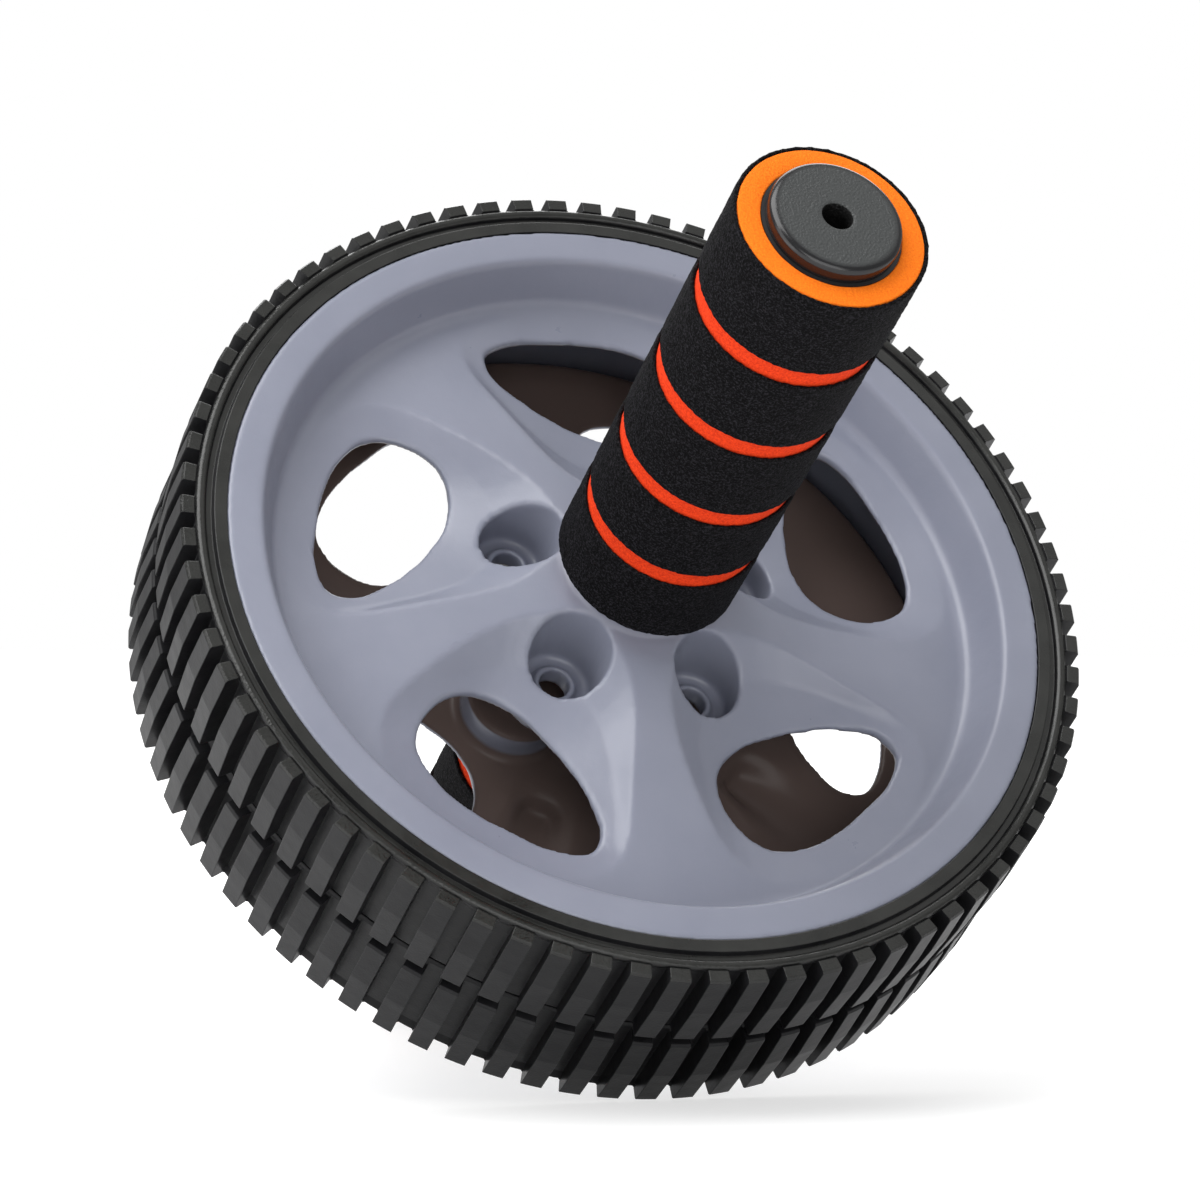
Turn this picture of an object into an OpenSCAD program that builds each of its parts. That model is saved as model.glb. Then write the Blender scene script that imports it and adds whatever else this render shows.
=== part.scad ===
// Ab wheel roller: two wheels side by side, each a spoked plastic disc with a lugged rubber tyre,
// turn one beside the other on a steel axle, between two foam grips.
// Millimetres, +Z up. The axle lies along Y, its photographed end towards -Y, and the origin is
// the middle of the pair of wheels. A half is drawn with its axis along +Z and its outer face up,
// from the middle plane at zero, then turned.

/* [Wheel] */
// Diameter of a wheel over its tread lugs
wheel_d = 185; // [170:1:220]
// Width of the pair of wheels between their two rim faces
wheel_w = 47.2; // [46:0.2:56]
// Gap between the two wheels
wheel_gap = 0.6; // [0.4:0.1:1]
// Turn of the rear wheel about the axle, from its mirrored place
rear_turn = 5.5; // [-180:0.5:180]

/* [Tyres] */
// Thickness of the tyre, from the disc's rim to the tops of the lugs
tyre_t = 9.4; // [8:0.2:12]
// Lugs in each tyre's row
lug_count = 75; // [40:1:76]
// Gap between two lugs, along the tread
lug_gap = 3.6; // [2:0.1:4.2]
// Height of a lug above the floor of the tread
lug_h = 4; // [2:0.1:4.4]
// How much lower a lug is at its ends than at its kink
lug_crown = 0.44; // [0:0.02:1]
// Gap between the front and rear rows of lugs
row_gap = 2.5; // [1:0.1:4]
// Angle between the lugs of the two rows
row_turn = 0.4; // [0:0.1:2]

/* [Discs] */
// Width of the flat band around the dish
band_w = 6.6; // [5:0.2:9]
// Width of the dish's sloping side wall
side_w = 4.5; // [3:0.5:6]
// Depth of the dish at the foot of its side wall
dish_depth = 10.4; // [9:0.2:11]
// Depth of the spokes at the hub, under the rim face
spoke_depth = 1.7; // [1:0.1:3]
// Wall thickness of the disc
disc_wall = 3; // [2.4:0.2:3.6]
// Height of the hub above the rim face
hub_rise = 1.4; // [1:0.1:2]
// Radius of the hub
hub_r = 15; // [14:0.5:15.5]
// Angle of the first petal, from +X
petal_turn = 12; // [0:1:20]
// Angle from a petal's middle to its fuller edge
petal_full = 29.8; // [29:0.1:30.5]
// Angle from a petal's middle to its other edge
petal_lean = 27; // [26:0.5:28]
// Depth of a petal at the inner end of its opening
petal_deep = 12; // [11:0.1:12.4]
// Share of a petal's depth that is reached half way to its opening
petal_bow = 0.62; // [0.5:0.02:0.7]
// Depth of a petal at the outer end of its opening
petal_shallow = 11.3; // [11:0.1:11.5]

/* [Cups] */
// Radius of the circle of cups
cup_circle = 23.8; // [23:0.2:25]
// Angle of the first cup, from +X
cup_turn = 9.3; // [0:0.1:18]
// Radius of a cup
cup_r = 7.8; // [7:0.1:8.2]
// Depth of a cup's floor under the rim face
cup_depth = 17.4; // [15:0.1:18]
// Thickness of a cup's floor
cup_floor = 2.5; // [2:0.1:3]
// Height of the raised seat round the hole, on the cup's floor
seat_rise = 1.8; // [0.4:0.1:2.4]
// Radius of the hole in a cup's floor
cup_hole_r = 3.1; // [2:0.1:3.4]

/* [Grips] */
// Length of the whole roller, over the end caps
roller_l = 266; // [240:1:300]
// Gap between a wheel's hub and the foam grip
grip_gap = 1.8; // [1.8:0.1:6]
// Radius over the black skin
grip_r = 18.3; // [17.6:0.1:20]
// Thickness of the black skin
skin_t = 0.8; // [0.5:0.1:1.2]
// Centres of the cut rings, from the grip's inner end
ring_at = [18.4, 38.6, 60.2, 82.1];
// Width of a cut ring
ring_w = 4.1; // [3:0.1:6]
// Radius of the handle tube and of the end cap
handle_r = 13.1; // [12.5:0.1:14]
// Wall thickness of the handle tube
handle_wall = 2.5; // [2:0.1:3]
// Ribs between the handle's tube and its sleeve
handle_ribs = 6; // [3:1:8]
// How far the end cap stands out of the foam
cap_rise = 3.2; // [2.5:0.1:5]
// Radius of the hole in the end cap
cap_hole_r = 2.85; // [2:0.05:4]

/* [Axle] */
// Radius of the steel axle
axle_r = 6; // [5:0.1:6.5]
// Wall thickness of a bush
bush_wall = 2; // [1.6:0.1:2.4]
// Thickness of a bush's flange
flange_t = 1.2; // [1:0.1:1.5]
// Length of a bush, with its flange
bush_l = 10; // [8:0.5:11]
// Thickness of a washer between a wheel and a handle
washer_t = 1.1; // [0.8:0.1:2]
// Thickness of the washer between the two wheels
middle_t = 1; // [0.8:0.1:1.6]

/* [Fits] */
// Clearance of the bushes on the axle
run_fit = 0.05; // [0.02:0.01:0.1]
// Clearance of pieces that are pressed or stretched together
seat_fit = 0.02; // [0.01:0.01:0.05]
// Play along the axle between a bush and its washer
end_play = 0.1; // [0.05:0.05:0.3]

/* [Hidden] */
$fn = 96;
half_w = wheel_w / 2;
lug_r = wheel_d / 2;
rim_r = lug_r - tyre_t;
floor_r = lug_r - lug_h;
band_r = rim_r - band_w;
foot_r = band_r - side_w;
petals = 5;
petal_step = 360 / petals;
cone_r = hub_r + 1.6;
hub_face = half_w + hub_rise;
under = half_w - dish_depth - disc_wall + 0.2;
low = wheel_gap / 2;
bush_r = axle_r + run_fit + bush_wall;
flange_r = bush_r + 2.5;
flange_face = hub_face + 0.3;
inner_face = middle_t / 2 + end_play;
hub_end = inner_face + 0.4;
washer_in = flange_face + end_play;
handle_in = washer_in + washer_t;
grip_out = roller_l / 2 - cap_rise;
grip_in = hub_face + grip_gap;
core_r = grip_r - skin_t;
sleeve_r = axle_r + seat_fit + handle_wall;
spigot_l = 8;
groove_r = rim_r - 1;
opening_middle = [51, 4];

// Depth of the cone that the spokes lie on, at a radius
function spoke_cone(r) =
    spoke_depth + (r - cone_r) * (dish_depth - spoke_depth) / (foot_r - cone_r);

// Point at a radius and an angle
function around(r, a) = [r * cos(a), r * sin(a)];

// One point of the curve that runs evenly through four points
function curve_point(a, b, c, d, t) =
    0.5 * (2 * b + (c - a) * t + (2 * a - 5 * b + 4 * c - d) * t * t
        + (3 * b - a - 3 * c + d) * t * t * t);

// Closed smooth outline through some corner points
function smooth(corners, steps) =
    let (n = len(corners))
    [for (i = [0:n - 1], s = [0:steps - 1])
        curve_point(corners[(i + n - 1) % n], corners[i], corners[(i + 1) % n],
            corners[(i + 2) % n], s / steps)];

// Crease around a petal, with the petal's middle along +X: it wraps the cup at its inner end, and
// is fuller on one side
function petal_crease() = [
    [17, 0],
    [20, 8.2],
    around(30, petal_full - 0.4),
    around(42, petal_full),
    around(foot_r - 17.5, petal_full),
    around(foot_r - 9, petal_full - 1.2),
    around(foot_r - 4.2, petal_full - 7.3),
    around(foot_r - 2.4, petal_full - 18.5),
    [foot_r - 2, 0],
    around(foot_r - 2.6, 18 - petal_lean),
    around(foot_r - 4.6, 11.4 - petal_lean),
    around(foot_r - 10, 6 - petal_lean),
    around(foot_r - 17.5, 3 - petal_lean),
    around(42, -petal_lean),
    around(30, -petal_lean - 1.2),
    [20, -8.2]
];

// Edge of a petal's opening, leaning to the petal's fuller side
function opening_edge() =
    let (out = foot_r - 9)
    [around(38.4, -0.4), around(39.8, 6.5), around(42.2, 12.8), around(46.2, 18.7),
        around(50.7, 22.6), around(56.4, 25.2), around(out - 1.4, 23.4), around(out + 0.3, 17),
        around(out, 9), around(out, 2), around(out - 0.3, -5), around(out - 1.6, -10.8),
        around(58.7, -14.8), around(54.3, -17.3), around(49.3, -18.4), around(44.3, -17.2),
        around(40.5, -12.8), around(38.7, -6.5)];

// Depth of a petal's floor at the edge of its opening: deep at the inner end, raised at the sides
function floor_depth(p) =
    let (
        along = (norm(p) - 38.4) / (foot_r - 9 - 38.4),
        side = min(1, abs(p[1]) / 17)
    )
    petal_deep + (petal_shallow - petal_deep) * along - 1.3 * side * side;

// Half a profile turned about the half's axis
module ring_of(points) {
    rotate_extrude(convexity = 6) polygon(points);
}

// Puts a half on the photographed side
module to_front() {
    rotate([90, 0, 0]) children();
}

// Puts a half on the other side, turned round
module to_rear() {
    rotate([90, 0, 0]) rotate([180, 0, rear_turn]) children();
}

// Hollow scooped out of the disc above one petal's opening: a bowl that starts above the spokes'
// cone, so that the two meet in a clean crease, and ends inside the opening
module scoop() {
    crease = [for (p = smooth(petal_crease(), 2)) [p[0], p[1], half_w - spoke_cone(norm(p))]];
    middle = [for (p = crease) scoop_middle(p)];
    rise = 1.6;
    hull() {
        for (i = [0:len(crease) - 1]) {
            out = (crease[i] - middle[i]) / norm(crease[i] - middle[i]);
            translate(crease[i] + rise * out) pin_point(20);
            translate(middle[i]) pin_point(1);
        }
        for (p = smooth(opening_edge(), 2)) {
            q = opening_middle + 0.9 * (p - opening_middle);
            translate([q[0], q[1], half_w - floor_depth(q)]) pin_point(1);
        }
    }
}

// Point of the bowl's side, about half way from a point of the crease to the opening
function scoop_middle(p) =
    let (
        flat = [p[0], p[1]] * 0.52 + edge_toward([p[0], p[1]]) * 0.48,
        top = half_w - p[2],
        low = floor_depth(flat)
    )
    [flat[0], flat[1], half_w - top - petal_bow * (low - top)];

// Point of the opening's rough middle oval that lies towards a point of the crease
function edge_toward(p) =
    let (
        way = p - opening_middle,
        a = atan2(way[1], way[0])
    )
    opening_middle + [12.6 * cos(a), 19 * sin(a)];

// Hair-thin upright post, used as a corner of a hull
module pin_point(h) {
    translate([-0.01, -0.01, 0]) cube([0.02, 0.02, h]);
}

// Turned shell of a disc: band, side wall, spoke cone, hub and the drum wall under the tyre
module disc_shell() {
    wall_r = rim_r - disc_wall - 0.2;
    cone_z = half_w - spoke_depth;
    foot_z = half_w - dish_depth;
    ring_of([
        [bush_r + seat_fit, hub_end],
        [bush_r + seat_fit, hub_face],
        [hub_r - 0.8, hub_face],
        [hub_r, hub_face - 0.8],
        [hub_r + 0.3, cone_z + 0.5],
        [cone_r + 0.6, cone_z - 0.1],
        [foot_r - 1.6, foot_z + 0.25],
        [foot_r - 0.4, foot_z + 0.5],
        [foot_r + 0.3, foot_z + 1.3],
        [band_r - 1.1, half_w - 1.2],
        [band_r - 0.7, half_w - 0.4],
        [band_r, half_w],
        [rim_r, half_w],
        [rim_r, 16],
        [groove_r, 15],
        [groove_r, 7],
        [rim_r, 6],
        [rim_r, low],
        [wall_r, low],
        [wall_r, half_w - disc_wall - 1],
        [wall_r - 1, half_w - disc_wall],
        [band_r + 2, half_w - disc_wall],
        [foot_r + 3, under - 0.2],
        [foot_r - 9, under + 0.7],
        [foot_r - 24, under + 1.5],
        [foot_r - 33, under + 0.1],
        [hub_r + 1.5, under],
        [hub_r, under - 1.5],
        [hub_r, hub_end]
    ]);
}

// Hollow under the middle of a spoke, which keeps its wall even
module spoke_hollow(middle) {
    spread = (petal_step - petal_full - petal_lean - 3) / 2;
    near = 36;
    far = foot_r - 16;
    rotate_extrude(angle = 2 * spread, start = middle - spread) polygon([
        [near, under - 1],
        [far, under - 1],
        [far, half_w - spoke_cone(far) - disc_wall],
        [near, half_w - spoke_cone(near) - disc_wall]
    ]);
}

// Solid round a cup: a boss under the petal, with a sloping foot and a collar round the hole
module cup_boss() {
    end_z = half_w - cup_depth - cup_floor;
    boss_r = cup_r + 2.4;
    translate([0, 0, end_z + 0.4]) cylinder(r = boss_r, h = under - end_z + 0.4);
    translate([0, 0, end_z]) cylinder(r1 = boss_r - 0.4, r2 = boss_r, h = 0.4);
    translate([0, 0, under - 1.4]) cylinder(r1 = boss_r, r2 = boss_r + 1.6, h = 1.6);
    translate([0, 0, end_z - 0.6]) cylinder(r = cup_hole_r + 1.8, h = 1);
}

// Hollow of a cup, with a small raised seat round the hole in its floor
module cup_hollow() {
    floor_z = half_w - cup_depth;
    difference() {
        translate([0, 0, floor_z]) cylinder(r1 = cup_r - 0.4, r2 = cup_r, h = cup_depth);
        translate([0, 0, floor_z - 1])
            cylinder(r1 = cup_hole_r + 2.1, r2 = cup_hole_r + 1, h = 1 + seat_rise);
    }
    translate([0, 0, floor_z - cup_floor - 2]) cylinder(r = cup_hole_r, h = cup_floor + 4);
}

// One disc, as moulded: the same piece serves in both wheels
module disc() {
    recess = flange_t - 0.4;
    difference() {
        union() {
            disc_shell();
            for (i = [0:petals - 1]) {
                rotate(cup_turn + i * petal_step) translate([cup_circle, 0, 0]) cup_boss();
            }
        }
        for (i = [0:petals - 1]) {
            rotate(petal_turn + i * petal_step) {
                scoop();
                translate([0, 0, -1]) linear_extrude(half_w + 4) polygon(smooth(opening_edge(), 4));
                spoke_hollow((petal_step + petal_full - petal_lean + 1) / 2);
            }
            rotate(cup_turn + i * petal_step) translate([cup_circle, 0, 0]) cup_hollow();
        }
        translate([0, 0, flange_face - flange_t]) cylinder(r = flange_r + seat_fit, h = 5);
        translate([0, 0, hub_end - 1]) cylinder(r = flange_r + seat_fit, h = recess + 1);
    }
}

module front_disc() {
    color([0.56, 0.58, 0.64]) to_front() disc();
}

module rear_disc() {
    color([0.56, 0.58, 0.64]) to_rear() disc();
}

// Section of a tyre before its lugs are cut: bore, side ring, groove, bead and crown
module tyre_section() {
    gap = row_gap / 2;
    bore = rim_r + seat_fit;
    end_r = lug_r - lug_crown;
    bead_r = 1.05;
    bead = [rim_r + 5.05, half_w - bead_r];
    polygon(concat(
        [
            [bore, low],
            [bore, 6 + seat_fit],
            [groove_r + seat_fit, 7 + seat_fit],
            [groove_r + seat_fit, 15 - seat_fit],
            [bore, 16 - seat_fit],
            [bore, half_w],
            [rim_r + 2.5, half_w],
            [rim_r + 2.8, half_w - 1.2],
            [rim_r + 3.9, half_w - 1.2]
        ],
        [for (a = [172:-16:12]) bead + bead_r * [cos(a), sin(a)]],
        [
            [rim_r + 6.3, half_w - 0.3],
            [end_r - 0.4, half_w - 0.25],
            [end_r, half_w - 0.7],
            [lug_r, (half_w + gap) / 2],
            [end_r, gap + 0.4],
            [end_r - 0.4, gap],
            [floor_r + 0.4, gap],
            [floor_r, gap - 0.4],
            [floor_r - 0.4, low]
        ]
    ));
}

// Gap between two lugs, cut straight across the tread up to the shoulder
module tread_gap() {
    shoulder = rim_r + 6.2;
    rotate([90, 0, 0]) translate([0, 0, -lug_gap / 2]) linear_extrude(lug_gap) polygon([
        [floor_r, -1],
        [floor_r, half_w - 2.4],
        [(floor_r + shoulder) / 2, half_w - 1.5],
        [shoulder, half_w - 0.5],
        [shoulder, half_w + 2],
        [lug_r + 2, half_w + 2],
        [lug_r + 2, -1]
    ]);
}

// One tyre, with a lug's middle along +X
module tyre() {
    step = 360 / lug_count;
    difference() {
        rotate_extrude(convexity = 6) tyre_section();
        for (i = [0:lug_count - 1]) {
            rotate((i + 0.5) * step) tread_gap();
        }
    }
}

module front_tyre() {
    color([0.16, 0.16, 0.17]) to_front() rotate(90) tyre();
}

module rear_tyre() {
    color([0.16, 0.16, 0.17]) rotate([90, 0, 0]) rotate(90 + row_turn) rotate([180, 0, 0]) tyre();
}

// Flanged bush for a hub, its flange's face at zero and its sleeve below
module bush() {
    difference() {
        union() {
            translate([0, 0, -bush_l]) cylinder(r = bush_r, h = bush_l);
            translate([0, 0, -flange_t]) cylinder(r = flange_r, h = flange_t);
        }
        translate([0, 0, -bush_l - 1]) cylinder(r = axle_r + run_fit, h = bush_l + 2);
    }
}

// Bush in the outer end of a hub
module outer_bush() {
    translate([0, 0, flange_face]) bush();
}

// Bush in the inner end of a hub, beside the other wheel
module inner_bush() {
    translate([0, 0, inner_face]) rotate([180, 0, 0]) bush();
}

module front_outer_bush() {
    color([0.82, 0.8, 0.74]) to_front() outer_bush();
}

module front_inner_bush() {
    color([0.82, 0.8, 0.74]) to_front() inner_bush();
}

module rear_outer_bush() {
    color([0.82, 0.8, 0.74]) to_rear() outer_bush();
}

module rear_inner_bush() {
    color([0.82, 0.8, 0.74]) to_rear() inner_bush();
}

module axle() {
    end = grip_out - spigot_l - 0.5;
    color([0.72, 0.73, 0.75]) rotate([90, 0, 0]) union() {
        translate([0, 0, 1 - end]) cylinder(r = axle_r, h = 2 * end - 2);
        translate([0, 0, end - 1]) cylinder(r1 = axle_r, r2 = axle_r - 0.8, h = 1);
        translate([0, 0, -end]) cylinder(r1 = axle_r - 0.8, r2 = axle_r, h = 1);
    }
}

// Washer on the axle, from a height up
module washer(from, t) {
    difference() {
        translate([0, 0, from]) cylinder(r = flange_r + 0.5, h = t);
        translate([0, 0, from - 1]) cylinder(r = axle_r + seat_fit, h = t + 2);
    }
}

// Washer between the two wheels
module middle_washer() {
    color([0.7, 0.71, 0.73]) to_front() washer(-middle_t / 2, middle_t);
}

module front_washer() {
    color([0.7, 0.71, 0.73]) to_front() washer(washer_in, washer_t);
}

module rear_washer() {
    color([0.7, 0.71, 0.73]) to_rear() washer(washer_in, washer_t);
}

// Handle: an outer tube and a sleeve on the axle, joined by ribs and by an inner end plate
module handle() {
    step = 360 / handle_ribs;
    inner_r = handle_r - handle_wall;
    difference() {
        translate([0, 0, handle_in]) cylinder(r = handle_r, h = grip_out - handle_in);
        cylinder(r = axle_r + seat_fit, h = roller_l);
        translate([0, 0, grip_out - spigot_l - 0.4]) cylinder(r = inner_r, h = spigot_l + 1);
        translate([0, 0, handle_in + 3]) for (i = [0:handle_ribs - 1]) {
            rotate_extrude(angle = step - 14, start = i * step + 7)
                translate([sleeve_r, 0]) square([inner_r - sleeve_r, roller_l]);
        }
    }
}

module front_handle() {
    color([0.13, 0.13, 0.14]) to_front() handle();
}

module rear_handle() {
    color([0.13, 0.13, 0.14]) to_rear() handle();
}

// Orange foam sleeve, its outer end a little rounded
module grip() {
    bore = handle_r + seat_fit;
    ring_of([
        [bore, grip_in],
        [core_r - 0.3, grip_in],
        [core_r, grip_in + 0.3],
        [core_r, grip_out - 0.3],
        [core_r - 0.3, grip_out],
        [bore, grip_out]
    ]);
}

module front_grip() {
    color([0.96, 0.42, 0.1]) to_front() grip();
}

module rear_grip() {
    color([0.96, 0.42, 0.1]) to_rear() grip();
}

// Bands of black skin that the cut rings leave
module grip_skin() {
    cuts = [for (at = ring_at) grip_in + at];
    starts = concat([grip_in], [for (c = cuts) c + ring_w / 2]);
    ends = concat([for (c = cuts) c - ring_w / 2], [grip_out]);
    bore = core_r + seat_fit;
    for (i = [0:len(starts) - 1]) {
        ring_of([
            [bore, starts[i]],
            [grip_r - 0.4, starts[i]],
            [grip_r, starts[i] + 0.4],
            [grip_r, ends[i] - 0.4],
            [grip_r - 0.4, ends[i]],
            [bore, ends[i]]
        ]);
    }
}

module front_grip_skin() {
    color([0.1, 0.1, 0.1]) to_front() grip_skin();
}

module rear_grip_skin() {
    color([0.1, 0.1, 0.1]) to_rear() grip_skin();
}

// End cap: a rounded plug whose spigot fits in the handle tube
module end_cap() {
    spigot_r = handle_r - handle_wall - seat_fit;
    round_r = 1.2;
    difference() {
        rotate_extrude(convexity = 4) {
            translate([0, grip_out - spigot_l]) square([spigot_r, spigot_l + 0.5]);
            translate([0, grip_out]) square([handle_r, cap_rise - round_r]);
            translate([0, grip_out]) square([handle_r - round_r, cap_rise]);
            translate([handle_r - round_r, grip_out + cap_rise - round_r]) circle(r = round_r);
        }
        cylinder(r = cap_hole_r, h = roller_l);
    }
}

module front_end_cap() {
    color([0.27, 0.28, 0.29]) to_front() end_cap();
}

module rear_end_cap() {
    color([0.27, 0.28, 0.29]) to_rear() end_cap();
}

front_disc();
rear_disc();
front_tyre();
rear_tyre();
front_outer_bush();
front_inner_bush();
rear_outer_bush();
rear_inner_bush();
axle();
middle_washer();
front_washer();
rear_washer();
front_handle();
rear_handle();
front_grip();
rear_grip();
front_grip_skin();
rear_grip_skin();
front_end_cap();
rear_end_cap();
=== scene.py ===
"""Looks of an ab wheel roller: grained plastic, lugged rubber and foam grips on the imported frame."""

import math

import bpy
import mathutils
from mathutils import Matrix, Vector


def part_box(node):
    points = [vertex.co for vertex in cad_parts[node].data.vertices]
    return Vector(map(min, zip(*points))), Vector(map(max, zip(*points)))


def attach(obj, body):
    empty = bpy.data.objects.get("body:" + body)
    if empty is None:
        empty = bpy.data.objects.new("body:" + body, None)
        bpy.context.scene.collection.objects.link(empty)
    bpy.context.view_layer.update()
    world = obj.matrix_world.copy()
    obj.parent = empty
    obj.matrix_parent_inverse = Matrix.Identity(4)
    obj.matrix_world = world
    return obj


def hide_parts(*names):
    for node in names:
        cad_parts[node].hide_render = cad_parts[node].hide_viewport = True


MM = 0.001

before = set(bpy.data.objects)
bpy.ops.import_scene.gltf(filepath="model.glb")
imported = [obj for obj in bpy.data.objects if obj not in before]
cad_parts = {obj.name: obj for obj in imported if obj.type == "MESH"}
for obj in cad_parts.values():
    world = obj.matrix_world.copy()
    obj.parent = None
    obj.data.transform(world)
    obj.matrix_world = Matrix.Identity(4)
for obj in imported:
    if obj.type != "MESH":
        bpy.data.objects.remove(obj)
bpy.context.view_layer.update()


# Camera, fitted to the rim, bead, lug and grip edges of the photograph

CAMERA_PLACE = (-0.29376, -0.63847, -0.42090)
CAMERA_RIGHT = (0.93403, -0.30271, -0.18966)
CAMERA_UP = (-0.0106, -0.5542, 0.83232)
FOCAL_PIXELS = 4103.84
PHOTO_WIDTH = 1200
SENSOR = 36.0
NEAREST_SIGHT = 0.05
FURTHEST_SIGHT = 20.0


def add_camera():
    """Puts the camera where the photograph was taken from."""
    data = bpy.data.cameras.new("photo_camera")
    data.sensor_width = SENSOR
    data.lens = SENSOR * FOCAL_PIXELS / PHOTO_WIDTH
    data.clip_start = NEAREST_SIGHT
    data.clip_end = FURTHEST_SIGHT
    camera = bpy.data.objects.new("photo_camera", data)
    bpy.context.scene.collection.objects.link(camera)
    right = mathutils.Vector(CAMERA_RIGHT).normalized()
    up = mathutils.Vector(CAMERA_UP)
    back = right.cross(up).normalized()
    up = back.cross(right)
    turn = mathutils.Matrix((right, up, back)).transposed()
    camera.matrix_world = mathutils.Matrix.Translation(CAMERA_PLACE) @ turn.to_4x4()
    bpy.context.scene.camera = camera


# The roller leans on the rear tyre's outer edge and on the rear grip's end, as places in Y and Z

LEAN_TYRE = (23.35 * MM, -92.06 * MM)
LEAN_GRIP = (129.8 * MM, -18.3 * MM)


def lean():
    """The floor's slope, as an angle about X."""
    return math.atan2(LEAN_GRIP[1] - LEAN_TYRE[1], LEAN_GRIP[0] - LEAN_TYRE[0])


def floor_up():
    """The direction away from the floor."""
    return mathutils.Vector((0, -math.sin(lean()), math.cos(lean())))


# Shared parts of the materials


def new_material(name):
    """A material with its nodes, its links and its Principled shader."""
    material = bpy.data.materials.new(name)
    material.use_nodes = True
    nodes = material.node_tree.nodes
    links = material.node_tree.links
    return material, nodes, links, nodes["Principled BSDF"]


def object_place(nodes):
    """The Object coordinates of a piece, in metres."""
    return nodes.new("ShaderNodeTexCoord").outputs["Object"]


def maths(nodes, links, operation, *values):
    """A value worked out from other values, each a socket or a plain number."""
    node = nodes.new("ShaderNodeMath")
    node.operation = operation
    for value, socket in zip(values, node.inputs):
        if isinstance(value, float):
            socket.default_value = value
        else:
            links.new(value, socket)
    return node.outputs[0]


def noise(nodes, links, place, grain, detail=2.0, roughness=0.5):
    """Noise whose grain is about the given size in metres."""
    node = nodes.new("ShaderNodeTexNoise")
    node.inputs["Scale"].default_value = 1.0 / grain
    node.inputs["Detail"].default_value = detail
    node.inputs["Roughness"].default_value = roughness
    links.new(place, node.inputs["Vector"])
    return node.outputs["Fac"]


def ramp(nodes, links, value, stretch, colours):
    """Two colours, blended over a stretch of a value."""
    node = nodes.new("ShaderNodeValToRGB")
    for element, position, colour in zip(node.color_ramp.elements, stretch, colours):
        element.position = position
        element.color = colour
    links.new(value, node.inputs["Fac"])
    return node.outputs["Color"]


def spread(nodes, links, value, low, high):
    """A value from 0 to 1 mapped on a range."""
    node = nodes.new("ShaderNodeMapRange")
    node.inputs["To Min"].default_value = low
    node.inputs["To Max"].default_value = high
    links.new(value, node.inputs["Value"])
    return node.outputs["Result"]


def between(nodes, links, value, low, high):
    """0 to 1 over a stretch of a value."""
    node = nodes.new("ShaderNodeMapRange")
    node.inputs["From Min"].default_value = low
    node.inputs["From Max"].default_value = high
    links.new(value, node.inputs["Value"])
    return node.outputs["Result"]


def mixed(nodes, links, share, first, second):
    """Two values mixed by a share."""
    node = nodes.new("ShaderNodeMix")
    for value, socket in ((share, 0), (first, 2), (second, 3)):
        links.new(value, node.inputs[socket])
    return node.outputs[0]


def blend(nodes, links, share, first, second):
    """Two colours mixed by a share, each a socket or a plain colour."""
    mix = nodes.new("ShaderNodeMix")
    mix.data_type = "RGBA"
    links.new(share, mix.inputs[0])
    for colour, socket in ((first, mix.inputs[6]), (second, mix.inputs[7])):
        if isinstance(colour, tuple):
            socket.default_value = colour
        else:
            links.new(colour, socket)
    return mix.outputs[2]


def bump(nodes, links, height, depth, before=None):
    """A bump of a depth in metres."""
    node = nodes.new("ShaderNodeBump")
    node.inputs["Strength"].default_value = 1.0
    node.inputs["Distance"].default_value = depth
    links.new(height, node.inputs["Height"])
    if before is not None:
        links.new(before, node.inputs["Normal"])
    return node.outputs["Normal"]


def rounded(nodes, radius):
    """A normal that rounds sharp edges over a radius in metres."""
    node = nodes.new("ShaderNodeBevel")
    node.samples = 4
    node.inputs["Radius"].default_value = radius
    return node.outputs["Normal"]


def along_axle(nodes, links, place):
    """The Y part of a place or a direction."""
    split = nodes.new("ShaderNodeSeparateXYZ")
    links.new(place, split.inputs[0])
    return split.outputs["Y"]


def middle_distance(nodes, links, place):
    """The distance from the roller's middle, along the axle."""
    return maths(nodes, links, "ABSOLUTE", along_axle(nodes, links, place))


def facing_out(nodes, links, place):
    """1 on faces that look away from the middle of the roller, -1 on faces that look at it."""
    side = maths(nodes, links, "SIGN", along_axle(nodes, links, place))
    surface = nodes.new("ShaderNodeNewGeometry")
    normal = along_axle(nodes, links, surface.outputs["Normal"])
    return maths(nodes, links, "MULTIPLY", side, normal)


def axle_distance(nodes, links, place):
    """The distance from the axle's axis."""
    flat = nodes.new("ShaderNodeVectorMath")
    flat.operation = "MULTIPLY"
    flat.inputs[1].default_value = (1, 0, 1)
    links.new(place, flat.inputs[0])
    reach = nodes.new("ShaderNodeVectorMath")
    reach.operation = "LENGTH"
    links.new(flat.outputs[0], reach.inputs[0])
    return reach.outputs["Value"]


# Materials

DISC_GREYS = ((0.196, 0.208, 0.264, 1), (0.222, 0.234, 0.292, 1))
# Painted shade: a dark brownish colour for the faces inside the wheel, where shade falls
DISC_INSIDE_PAINTED_SHADE = (0.125, 0.092, 0.083, 1)


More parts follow.
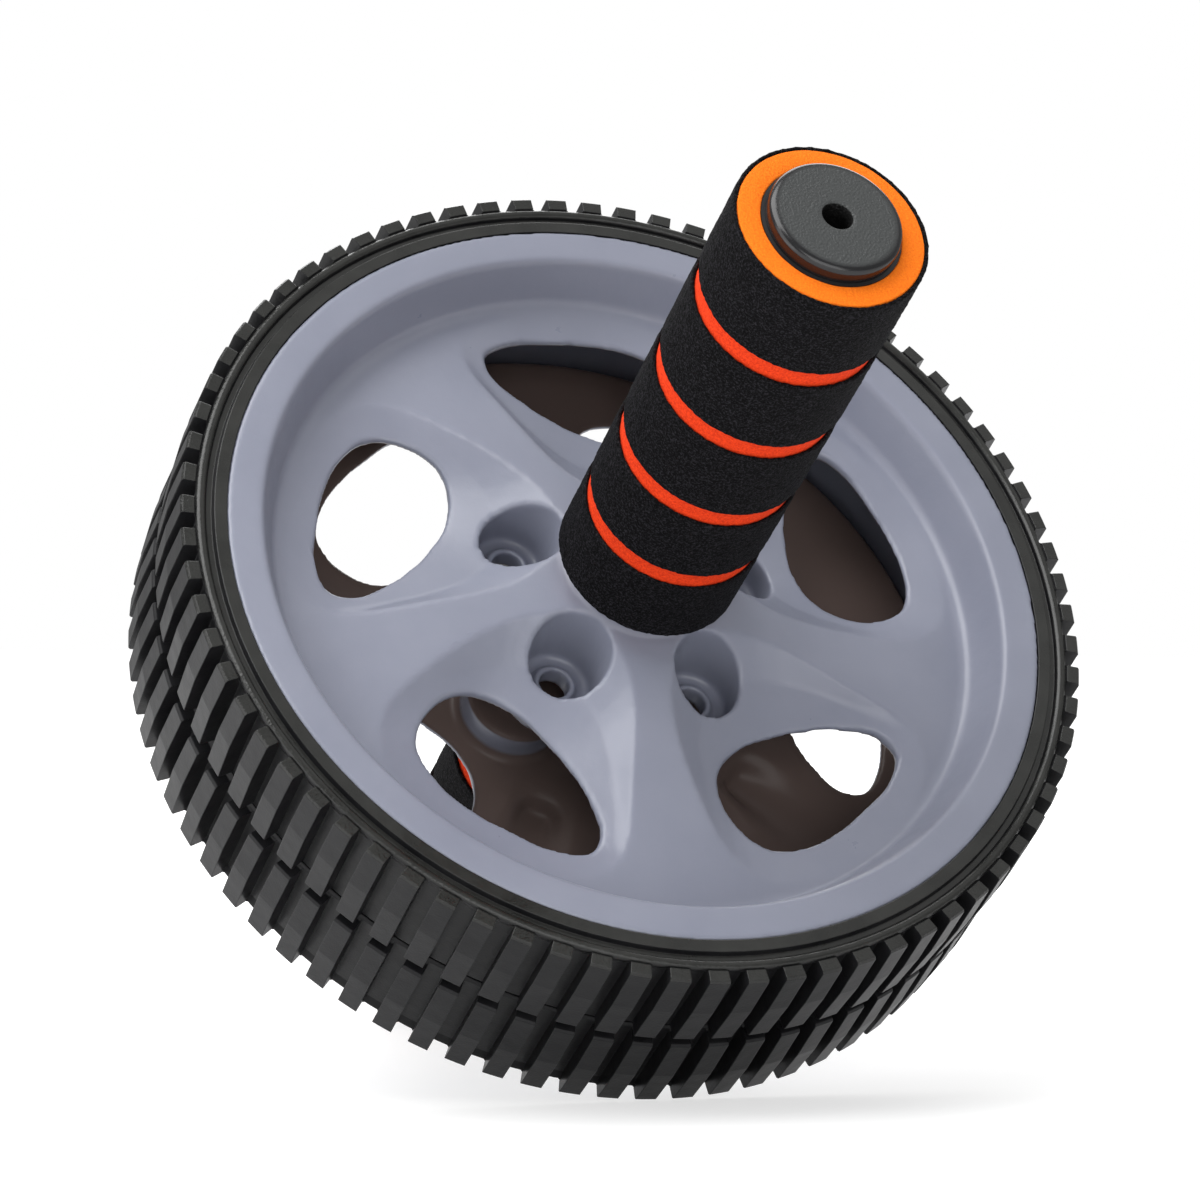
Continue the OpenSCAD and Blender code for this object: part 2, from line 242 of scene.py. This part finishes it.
def disc_plastic():
    """Satin moulded plastic, blue-grey with a faint flow pattern; on faces that look inward, painted
    shade, dark and brownish, and less specular.
    """
    material, nodes, links, shader = new_material("disc_plastic")
    place = object_place(nodes)
    cloud = noise(nodes, links, place, grain=22 * MM, detail=4.0)
    colour = ramp(nodes, links, cloud, (0.3, 0.7), DISC_GREYS)
    # Faces that look inward get painted shade in their colour, and less specular
    inside = between(nodes, links, facing_out(nodes, links, place), -0.1, -0.5)
    colour = blend(nodes, links, inside, colour, DISC_INSIDE_PAINTED_SHADE)
    links.new(colour, shader.inputs["Base Color"])
    streaks = noise(nodes, links, place, grain=5 * MM, detail=4.0, roughness=0.65)
    links.new(spread(nodes, links, streaks, 0.22, 0.42), shader.inputs["Roughness"])
    links.new(spread(nodes, links, inside, 0.5, 0.14), shader.inputs["Specular IOR Level"])
    peel = noise(nodes, links, place, grain=2.2 * MM, detail=1.0)
    grain = noise(nodes, links, place, grain=0.35 * MM, detail=1.0)
    soft = bump(nodes, links, peel, depth=0.035 * MM)
    soft = bump(nodes, links, grain, depth=0.012 * MM, before=soft)
    links.new(soft, shader.inputs["Normal"])
    return material


# The circle on which the CAD lugs stand
LUG_FOOT = 88.5 * MM
LUG_ROUND = 0.35 * MM
TREAD_BLACKS = ((0.0065, 0.0065, 0.0075, 1), (0.0125, 0.0125, 0.0135, 1))
FLANK_BLACKS = ((0.011, 0.0113, 0.0102, 1), (0.02, 0.0204, 0.0186, 1))


def tyre_rubber():
    """Black rubber: dull on the tread, greyer and glossy on the side, crinkled on the lugs' ends."""
    material, nodes, links, shader = new_material("tyre_rubber")
    place = object_place(nodes)
    side = between(nodes, links, facing_out(nodes, links, place), 0.35, 0.75)
    cloud = noise(nodes, links, place, grain=7 * MM, detail=4.0)
    tread = ramp(nodes, links, cloud, (0.3, 0.7), TREAD_BLACKS)
    flank = ramp(nodes, links, cloud, (0.3, 0.7), FLANK_BLACKS)
    links.new(blend(nodes, links, side, tread, flank), shader.inputs["Base Color"])
    dull = spread(nodes, links, cloud, 0.28, 0.42)
    glossy = spread(nodes, links, cloud, 0.12, 0.24)
    links.new(mixed(nodes, links, side, dull, glossy), shader.inputs["Roughness"])
    links.new(spread(nodes, links, side, 0.22, 0.42), shader.inputs["Specular IOR Level"])
    crinkle = noise(nodes, links, place, grain=0.9 * MM, detail=3.0)
    reach = axle_distance(nodes, links, place)
    lug_end = between(nodes, links, reach, LUG_FOOT - 0.5 * MM, LUG_FOOT + 0.3 * MM)
    height = maths(nodes, links, "MULTIPLY", crinkle, side)
    height = maths(nodes, links, "MULTIPLY", height, lug_end)
    wave = noise(nodes, links, place, grain=4 * MM, detail=1.0)
    soft = bump(nodes, links, wave, depth=0.1 * MM, before=rounded(nodes, LUG_ROUND))
    soft = bump(nodes, links, height, depth=0.12 * MM, before=soft)
    grain = noise(nodes, links, place, grain=0.45 * MM, detail=2.0)
    soft = bump(nodes, links, grain, depth=0.03 * MM, before=soft)
    links.new(soft, shader.inputs["Normal"])
    return material


def foam_cells(nodes, links, place, depth):
    """The torn cells of foam, as a value, with their bump."""
    cells = noise(nodes, links, place, grain=0.42 * MM, detail=3.0, roughness=0.7)
    lumps = noise(nodes, links, place, grain=2.5 * MM, detail=2.0)
    soft = bump(nodes, links, lumps, depth=0.2 * MM)
    return cells, bump(nodes, links, cells, depth, soft)


FOAM_BLACKS = ((0.0008, 0.0008, 0.001, 1), (0.036, 0.034, 0.04, 1))
# One orange foam: with painted shade for the cut rings, and with painted light for the end faces
RING_PAINTED_SHADE_ORANGES = ((0.62, 0.028, 0.004, 1), (0.9, 0.062, 0.008, 1))
END_PAINTED_LIGHT_ORANGES = ((0.86, 0.15, 0.006, 1), (1.0, 0.235, 0.01, 1))


def black_foam():
    """Black closed-cell foam: dull, with fine pebbled cells that catch a little light."""
    material, nodes, links, shader = new_material("black_foam")
    place = object_place(nodes)
    cells, normal = foam_cells(nodes, links, place, depth=0.5 * MM)
    colour = ramp(nodes, links, cells, (0.48, 0.74), FOAM_BLACKS)
    links.new(colour, shader.inputs["Base Color"])
    shader.inputs["Roughness"].default_value = 0.8
    shader.inputs["Specular IOR Level"].default_value = 0.1
    links.new(normal, shader.inputs["Normal"])
    return material


def orange_foam(end_place):
    """Orange foam, one orange all through: painted shade makes it red-orange in the cut rings, painted
    light makes it a lighter orange at its end faces.
    """
    material, nodes, links, shader = new_material("orange_foam")
    place = object_place(nodes)
    cells, normal = foam_cells(nodes, links, place, depth=0.16 * MM)
    along = middle_distance(nodes, links, place)
    at_end = between(nodes, links, along, end_place - 1.5 * MM, end_place - 0.5 * MM)
    # Painted shade in the cut rings, painted light on the end faces
    ring_with_shade = ramp(nodes, links, cells, (0.35, 0.68), RING_PAINTED_SHADE_ORANGES)
    end = ramp(nodes, links, cells, (0.35, 0.68), END_PAINTED_LIGHT_ORANGES)
    links.new(blend(nodes, links, at_end, ring_with_shade, end), shader.inputs["Base Color"])
    shader.inputs["Roughness"].default_value = 0.85
    shader.inputs["Specular IOR Level"].default_value = 0.2
    links.new(normal, shader.inputs["Normal"])
    return material


# The cap's vent hole, the circle where its grained face ends, and the size of that grain
CAP_HOLE = 2.85 * MM
CAP_FACE = 10.6 * MM
CAP_EDGE = 11.5 * MM
CAP_GRAIN = 0.42 * MM
CAP_FACE_GREY = (0.04, 0.043, 0.043, 1)
CAP_EDGE_BLACK = (0.008, 0.008, 0.009, 1)
# Painted shade: near black for the inside of the vent hole
CAP_HOLE_PAINTED_SHADE = (0.001, 0.001, 0.001, 1)


def cap_plastic():
    """Dark grey plastic: a leather grain on the face, a smooth glossy round at its edge, and painted
    shade, near black, inside the vent hole.
    """
    material, nodes, links, shader = new_material("cap_plastic")
    place = object_place(nodes)
    reach = axle_distance(nodes, links, place)
    face = between(nodes, links, reach, CAP_EDGE, CAP_FACE)
    # The inside of the vent hole gets painted shade
    hole_shade = between(nodes, links, reach, CAP_HOLE + 0.1 * MM, CAP_HOLE + 0.02 * MM)
    cells = nodes.new("ShaderNodeTexVoronoi")
    cells.feature = "SMOOTH_F1"
    cells.inputs["Scale"].default_value = 1 / CAP_GRAIN
    links.new(place, cells.inputs["Vector"])
    grain = maths(nodes, links, "MULTIPLY", cells.outputs["Distance"], face)
    colour = blend(nodes, links, face, CAP_EDGE_BLACK, CAP_FACE_GREY)
    colour = blend(nodes, links, hole_shade, colour, CAP_HOLE_PAINTED_SHADE)
    links.new(colour, shader.inputs["Base Color"])
    links.new(spread(nodes, links, face, 0.2, 0.48), shader.inputs["Roughness"])
    links.new(bump(nodes, links, grain, depth=0.16 * MM), shader.inputs["Normal"])
    return material


def plain_finish(name, colour, grain, low, high):
    """One colour, whose roughness varies in a grain from low to high."""
    material, nodes, links, shader = new_material(name)
    pattern = noise(nodes, links, object_place(nodes), grain)
    shader.inputs["Base Color"].default_value = colour
    links.new(spread(nodes, links, pattern, low, high), shader.inputs["Roughness"])
    return material, shader


def steel():
    """Bright drawn steel."""
    material, shader = plain_finish("steel", (0.5, 0.51, 0.53, 1), 0.8 * MM, 0.25, 0.4)
    shader.inputs["Metallic"].default_value = 1.0
    return material


def handle_plastic():
    """Black handle plastic."""
    return plain_finish("handle_plastic", (0.012, 0.012, 0.013, 1), 0.7 * MM, 0.4, 0.5)[0]


def bush_plastic():
    """Natural bearing plastic."""
    return plain_finish("bush_plastic", (0.62, 0.58, 0.5, 1), 0.7 * MM, 0.35, 0.5)[0]


def dress(material, *names):
    """Gives a material to CAD nodes."""
    for name in names:
        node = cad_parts[name]
        for slot in node.material_slots:
            slot.material = material


# Places that the CAD gives

AWAY = {"front": -1, "rear": 1}


def ends(side, part):
    """A part's inner and outer end, as places along the axle."""
    low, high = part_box(side + "_" + part)
    return (high[1], low[1]) if side == "front" else (low[1], high[1])


def outer_radius(side, part):
    """The radius of a round part."""
    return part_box(side + "_" + part)[1][0]


# Discs: the CAD disc, with the soft edges of a moulding

MERGE_GAP = 0.005 * MM
MOULDING_GRAIN = 0.6 * MM
MOULDING_FACES = 95000
EDGE_ROUNDS = 5
REAR_TURN = math.radians(5.5)

# Spokes in degrees, and the ring in which the pockets under them lie
SPOKE_PITCH = 360 / 5
SPOKE_MIDDLE = 49.9
POCKET_HALF = 10
POCKET_REACH = (31 * MM, 62 * MM)
POCKET_TILT = -0.4
POCKET_ROUNDS = 220


def apply_smoothing(piece, rounds, group=""):
    """Evens out a piece, or only one group of its points."""
    soft = piece.modifiers.new("soft_edges", "SMOOTH")
    soft.factor = 0.5
    soft.iterations = rounds
    soft.vertex_group = group
    bpy.ops.object.modifier_apply(modifier=soft.name)


def spoke_pockets(piece):
    """Groups the points of the five pockets under the spokes of the front disc."""
    inner = []
    for point in piece.data.vertices:
        reach = math.hypot(point.co.x, point.co.z)
        if POCKET_REACH[0] < reach < POCKET_REACH[1] and point.normal.y > POCKET_TILT:
            angle = math.degrees(math.atan2(point.co.z, point.co.x))
            off = (angle - SPOKE_MIDDLE + SPOKE_PITCH / 2) % SPOKE_PITCH - SPOKE_PITCH / 2
            if abs(off) < POCKET_HALF:
                inner.append(point.index)
    group = piece.vertex_groups.new(name="spoke_pockets")
    group.add(inner, 1.0, "REPLACE")
    return group.name


def soft_moulding(node, name):
    """A copy of a CAD node's shape, whose edges are softly rounded all over."""
    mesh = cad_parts[node].data.copy()
    mesh.name = name
    piece = bpy.data.objects.new(name, mesh)
    bpy.context.scene.collection.objects.link(piece)
    bpy.ops.object.select_all(action="DESELECT")
    piece.select_set(True)
    bpy.context.view_layer.objects.active = piece
    bpy.ops.object.mode_set(mode="EDIT")
    bpy.ops.mesh.select_all(action="SELECT")
    bpy.ops.mesh.remove_doubles(threshold=MERGE_GAP)
    bpy.ops.object.mode_set(mode="OBJECT")
    even = piece.modifiers.new("even_mesh", "REMESH")
    even.mode = "VOXEL"
    even.voxel_size = MOULDING_GRAIN
    even.use_smooth_shade = True
    bpy.ops.object.modifier_apply(modifier=even.name)
    apply_smoothing(piece, POCKET_ROUNDS, spoke_pockets(piece))
    apply_smoothing(piece, EDGE_ROUNDS)
    fewer = piece.modifiers.new("fewer_faces", "DECIMATE")
    fewer.ratio = min(1.0, MOULDING_FACES / len(piece.data.polygons))
    bpy.ops.object.modifier_apply(modifier=fewer.name)
    return piece


def rear_copy(front, name, turn):
    """The front disc's moulding, turned round for the rear wheel."""
    piece = bpy.data.objects.new(name, front.data.copy())
    bpy.context.scene.collection.objects.link(piece)
    flip = mathutils.Matrix.Rotation(math.pi, 4, "X")
    piece.data.transform(mathutils.Matrix.Rotation(turn, 4, "Y") @ flip)
    return piece


def finish_disc(piece, side, material):
    """Sets a moulding in the place of its CAD disc."""
    piece.data.materials.clear()
    piece.data.materials.append(material)
    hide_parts(side + "_disc")
    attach(piece, side + "_wheel")


# Foam grips: an orange sleeve, and a black skin that four cut rings divide into bands

# The middles of the cut rings, from the grip's inner end
RING_PLACES = (18.4 * MM, 38.6 * MM, 60.2 * MM, 82.1 * MM)
RING_WIDTH = 4.1 * MM
ROUND_CORNERS = 220
FOAM_FIT = 0.02 * MM
SLEEVE_BACK = 0.05 * MM
SLEEVE_MESH = 1.5 * MM
SLEEVE_ROUND = 0.35 * MM
BAND_MESH = 0.55 * MM
BAND_ROUND = 0.6 * MM
ROUND_SEGMENTS = 4
EDGE_ANGLE = math.radians(50)


def open_tube(radius, start, end, step):
    """A tube of one surface along Y, cut in rings about a step apart."""
    length = abs(end - start)
    bpy.ops.object.select_all(action="DESELECT")
    bpy.ops.mesh.primitive_cylinder_add(
        vertices=ROUND_CORNERS,
        radius=radius,
        depth=length,
        end_fill_type="NOTHING",
        location=(0, (start + end) / 2, 0),
        rotation=(math.pi / 2, 0, 0),
    )
    tube = bpy.context.object
    bpy.ops.object.transform_apply(location=True, rotation=True, scale=True)
    bpy.ops.object.mode_set(mode="EDIT")
    bpy.ops.mesh.select_mode(type="EDGE")
    bpy.ops.mesh.select_all(action="DESELECT")
    bpy.ops.object.mode_set(mode="OBJECT")
    points = tube.data.vertices
    for edge in tube.data.edges:
        first, second = (points[i].co for i in edge.vertices)
        edge.select = abs(first.y - second.y) > length / 2
    bpy.ops.object.mode_set(mode="EDIT")
    bpy.ops.mesh.subdivide(number_cuts=max(1, round(length / step)))
    bpy.ops.mesh.select_mode(type="VERT")
    bpy.ops.object.mode_set(mode="OBJECT")
    return tube


def thicken(tube, wall, edge_round):
    """Gives a tube its wall, inwards, and rounds its edges."""
    bpy.ops.object.select_all(action="DESELECT")
    tube.select_set(True)
    bpy.context.view_layer.objects.active = tube
    solid = tube.modifiers.new("wall", "SOLIDIFY")
    solid.thickness = wall
    solid.offset = -1
    bpy.ops.object.modifier_apply(modifier=solid.name)
    corner = tube.modifiers.new("round", "BEVEL")
    corner.limit_method = "ANGLE"
    corner.angle_limit = EDGE_ANGLE
    corner.width = edge_round
    corner.segments = ROUND_SEGMENTS
    bpy.ops.object.modifier_apply(modifier=corner.name)


def uneven(piece, size, depth):
    """Makes the surface of a foam piece uneven, in lumps of a size."""
    pattern = bpy.data.textures.new(piece.name + "_unevenness", "CLOUDS")
    pattern.noise_scale = size
    pattern.noise_depth = 1
    shift = piece.modifiers.new("unevenness", "DISPLACE")
    shift.texture = pattern
    shift.texture_coords = "LOCAL"
    shift.strength = depth
    shift.mid_level = 0.5
    bpy.ops.object.modifier_apply(modifier=shift.name)
    bpy.ops.object.shade_smooth_by_angle(angle=math.radians(60))


def finish_foam(piece, name, material, node):
    """Names a foam piece, and sets it in the place of its CAD node."""
    piece.name = name
    piece.data.name = name
    piece.data.materials.clear()
    piece.data.materials.append(material)
    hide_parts(node)
    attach(piece, "axle")


def foam_sleeve(side, material):
    """The orange foam of one grip."""
    inner, outer = ends(side, "grip")
    sleeve_r = outer_radius(side, "grip") - SLEEVE_BACK
    bore_r = outer_radius(side, "handle") + FOAM_FIT
    sleeve = open_tube(sleeve_r, inner, outer, SLEEVE_MESH)
    thicken(sleeve, sleeve_r - bore_r, SLEEVE_ROUND)
    uneven(sleeve, size=2.5 * MM, depth=0.1 * MM)
    finish_foam(sleeve, side + "_foam_sleeve", material, side + "_grip")


def foam_skin(side, material):
    """The black skin of one grip, in bands between the cut rings."""
    inner, outer = ends(side, "grip")
    skin_r = outer_radius(side, "grip_skin")
    wall = skin_r - outer_radius(side, "grip") - FOAM_FIT
    starts = [0.0] + [place + RING_WIDTH / 2 for place in RING_PLACES]
    stops = [place - RING_WIDTH / 2 for place in RING_PLACES] + [abs(outer - inner)]
    bands = []
    for start, stop in zip(starts, stops):
        band = open_tube(skin_r, inner + AWAY[side] * start, inner + AWAY[side] * stop, BAND_MESH)
        thicken(band, wall, BAND_ROUND)
        uneven(band, size=2.2 * MM, depth=0.14 * MM)
        uneven(band, size=0.7 * MM, depth=0.3 * MM)
        bands.append(band)
    bpy.ops.object.select_all(action="DESELECT")
    for band in bands:
        band.select_set(True)
    bpy.context.view_layer.objects.active = bands[0]
    bpy.ops.object.join()
    finish_foam(bands[0], side + "_foam_skin", material, side + "_grip_skin")


# End caps, a little smaller than the CAD's, with a full round at the edge

CAP_CORNERS = 128
CAP_INSET = 0.65 * MM
SPIGOT_INSET = 2.2 * MM
CAP_ROUND = 1.35 * MM
CAP_ROUND_STEPS = 8
CAP_REST = 0.02 * MM


def turned(outline):
    """A closed turned piece round Y: a ring drawn along an outline of radius and place."""
    bpy.ops.object.select_all(action="DESELECT")
    bpy.ops.mesh.primitive_circle_add(
        vertices=CAP_CORNERS,
        radius=outline[0][0],
        location=(0, outline[0][1], 0),
        rotation=(math.pi / 2, 0, 0),
    )
    bpy.ops.object.transform_apply(location=True, rotation=True, scale=True)
    bpy.ops.object.mode_set(mode="EDIT")
    bpy.ops.mesh.select_all(action="SELECT")
    for (radius, place), (next_radius, next_place) in zip(outline, outline[1:] + outline[:1]):
        bpy.ops.mesh.extrude_edges_move(
            TRANSFORM_OT_translate={"value": (0, next_place - place, 0)}
        )
        scale = next_radius / radius
        bpy.ops.transform.resize(value=(scale, 1, scale), center_override=(0, 0, 0))
    bpy.ops.mesh.select_all(action="SELECT")
    bpy.ops.mesh.remove_doubles(threshold=0.002 * MM)
    bpy.ops.mesh.normals_make_consistent(inside=False)
    bpy.ops.object.mode_set(mode="OBJECT")
    return bpy.context.object


def end_cap(side, material):
    """A cap on a handle's end, with a vent hole and a spigot in the tube."""
    bottom, top = (abs(place) for place in ends(side, "end_cap"))
    foam_end = abs(ends(side, "grip")[1]) + CAP_REST
    cap_r = outer_radius(side, "end_cap") - CAP_INSET
    spigot_r = outer_radius(side, "end_cap") - SPIGOT_INSET
    outline = [
        (CAP_HOLE, bottom),
        (CAP_HOLE, top - 0.4 * MM),
        (CAP_HOLE + 0.12 * MM, top - 0.12 * MM),
        (CAP_HOLE + 0.4 * MM, top),
        (CAP_HOLE + 0.8 * MM, top),
        (cap_r - CAP_ROUND - 0.5 * MM, top),
    ]
    for step in range(CAP_ROUND_STEPS + 1):
        turn = step / CAP_ROUND_STEPS * math.pi / 2
        out = cap_r - CAP_ROUND + CAP_ROUND * math.sin(turn)
        outline.append((out, top - CAP_ROUND + CAP_ROUND * math.cos(turn)))
    outline += [(cap_r, foam_end), (spigot_r, foam_end), (spigot_r, bottom)]
    piece = turned([(radius, AWAY[side] * place) for radius, place in outline])
    bpy.ops.object.shade_smooth_by_angle(angle=math.radians(35))
    piece.name = side + "_cap_moulding"
    piece.data.name = piece.name
    piece.data.materials.append(material)
    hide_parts(side + "_end_cap")
    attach(piece, "axle")


# Floor and light, in metres and watts

GLOSS_SHARE = 0.4
FLOOR_SIZE = 6
FLOOR_WHITE = (0.8, 0.8, 0.8, 1)
SEEN_FLOOR_GREY = (0.5, 0.5, 0.5, 1)
GLOW_REACH = (0.15, 0.5)
GLOW_STRENGTH = (0.62, 1.0)
WORLD_STRENGTH = (0.4, 1.0)

# Each lamp's name, its place as shares of up, toward the camera and right, its size and its power
LAMPS = (
    ("key", (0.95, 0.35, -0.45), 1.0, 13.5),
    ("right_soft", (0.9, 0.2, 0.6), 0.8, 0.8),
    ("left_lamp", (0.08, 0.34, -0.42), 0.4, 0.85),
    ("front_fill", (0.0, 1.0, 0.25), 0.8, 4.5),
    ("rear_fill", (0.75, -0.8, 0.0), 0.9, 8),
)


def direct_sight(nodes, links):
    """1 for what the camera sees, also through a clear part, a share in a gloss, and else 0."""
    ray = nodes.new("ShaderNodeLightPath")
    gloss = maths(nodes, links, "MULTIPLY", ray.outputs["Is Glossy Ray"], GLOSS_SHARE)
    sight = (ray.outputs["Is Camera Ray"], ray.outputs["Is Transmission Ray"])
    return maths(nodes, links, "MAXIMUM", gloss, maths(nodes, links, "MAXIMUM", *sight))


def floor_material():
    """White that keeps the shadow, glows more further out, and is clear from below."""
    material = bpy.data.materials.new("floor")
    material.use_nodes = True
    nodes = material.node_tree.nodes
    links = material.node_tree.links
    nodes.clear()
    output = nodes.new("ShaderNodeOutputMaterial")
    plain = nodes.new("ShaderNodeBsdfDiffuse")
    plain.inputs["Color"].default_value = FLOOR_WHITE
    faint = nodes.new("ShaderNodeBsdfDiffuse")
    faint.inputs["Color"].default_value = SEEN_FLOOR_GREY
    glow = nodes.new("ShaderNodeEmission")
    glow.inputs["Color"].default_value = (1, 1, 1, 1)
    reach = nodes.new("ShaderNodeVectorMath")
    reach.operation = "LENGTH"
    links.new(object_place(nodes), reach.inputs[0])
    far = between(nodes, links, reach.outputs["Value"], *GLOW_REACH)
    links.new(spread(nodes, links, far, *GLOW_STRENGTH), glow.inputs["Strength"])
    seen = nodes.new("ShaderNodeAddShader")
    links.new(faint.outputs[0], seen.inputs[0])
    links.new(glow.outputs[0], seen.inputs[1])
    pick = nodes.new("ShaderNodeMixShader")
    links.new(direct_sight(nodes, links), pick.inputs["Fac"])
    links.new(plain.outputs[0], pick.inputs[1])
    links.new(seen.outputs[0], pick.inputs[2])
    clear = nodes.new("ShaderNodeBsdfTransparent")
    back = nodes.new("ShaderNodeNewGeometry")
    side = nodes.new("ShaderNodeMixShader")
    links.new(back.outputs["Backfacing"], side.inputs["Fac"])
    links.new(pick.outputs[0], side.inputs[1])
    links.new(clear.outputs[0], side.inputs[2])
    links.new(side.outputs[0], output.inputs["Surface"])
    return material


def add_floor():
    """The floor on which the roller leans."""
    bpy.ops.object.select_all(action="DESELECT")
    bpy.ops.mesh.primitive_plane_add(size=FLOOR_SIZE)
    floor = bpy.context.object
    floor.name = "floor"
    middle = mathutils.Matrix.Translation((0, *LEAN_TYRE))
    floor.matrix_world = middle @ mathutils.Matrix.Rotation(lean(), 4, "X")
    floor.data.materials.append(floor_material())


def add_light(name, place, size, power):
    """A square lamp that faces the wheel."""
    data = bpy.data.lights.new(name, "AREA")
    data.shape = "SQUARE"
    data.size = size
    data.energy = power
    lamp = bpy.data.objects.new(name, data)
    bpy.context.scene.collection.objects.link(lamp)
    lamp.location = place
    lamp.rotation_euler = place.to_track_quat("Z", "Y").to_euler()


def add_lamps():
    """The lamps, placed by the floor's and the camera's directions."""
    up = floor_up()
    toward = mathutils.Vector(CAMERA_PLACE).normalized()
    right = mathutils.Vector(CAMERA_RIGHT)
    for name, (up_share, toward_share, right_share), size, power in LAMPS:
        place = up * up_share + toward * toward_share + right * right_share
        add_light(name, place, size, power)


def add_world():
    """White surroundings, less bright for what they light than for the camera."""
    world = bpy.data.worlds.new("studio")
    bpy.context.scene.world = world
    world.use_nodes = True
    nodes = world.node_tree.nodes
    links = world.node_tree.links
    background = nodes["Background"]
    ray = nodes.new("ShaderNodeLightPath")
    strength = spread(nodes, links, ray.outputs["Is Camera Ray"], *WORLD_STRENGTH)
    background.inputs["Color"].default_value = (1, 1, 1, 1)
    links.new(strength, background.inputs["Strength"])


# The scene

bpy.context.scene.view_settings.view_transform = "Standard"
add_camera()
add_floor()
add_world()
add_lamps()

plastic = disc_plastic()
front_moulding = soft_moulding("front_disc", "front_moulding")
rear_moulding = rear_copy(front_moulding, "rear_moulding", -REAR_TURN)
finish_disc(front_moulding, "front", plastic)
finish_disc(rear_moulding, "rear", plastic)
dress(tyre_rubber(), "front_tyre", "rear_tyre")
cap = cap_plastic()
end_cap("front", cap)
end_cap("rear", cap)
dress(steel(), "axle", "front_washer", "middle_washer", "rear_washer")
dress(handle_plastic(), "front_handle", "rear_handle")
dress(
    bush_plastic(),
    "front_outer_bush", "front_inner_bush", "rear_outer_bush", "rear_inner_bush",
)

orange = orange_foam(abs(ends("front", "grip")[1]))
black = black_foam()
for side in ("front", "rear"):
    foam_sleeve(side, orange)
    foam_skin(side, black)
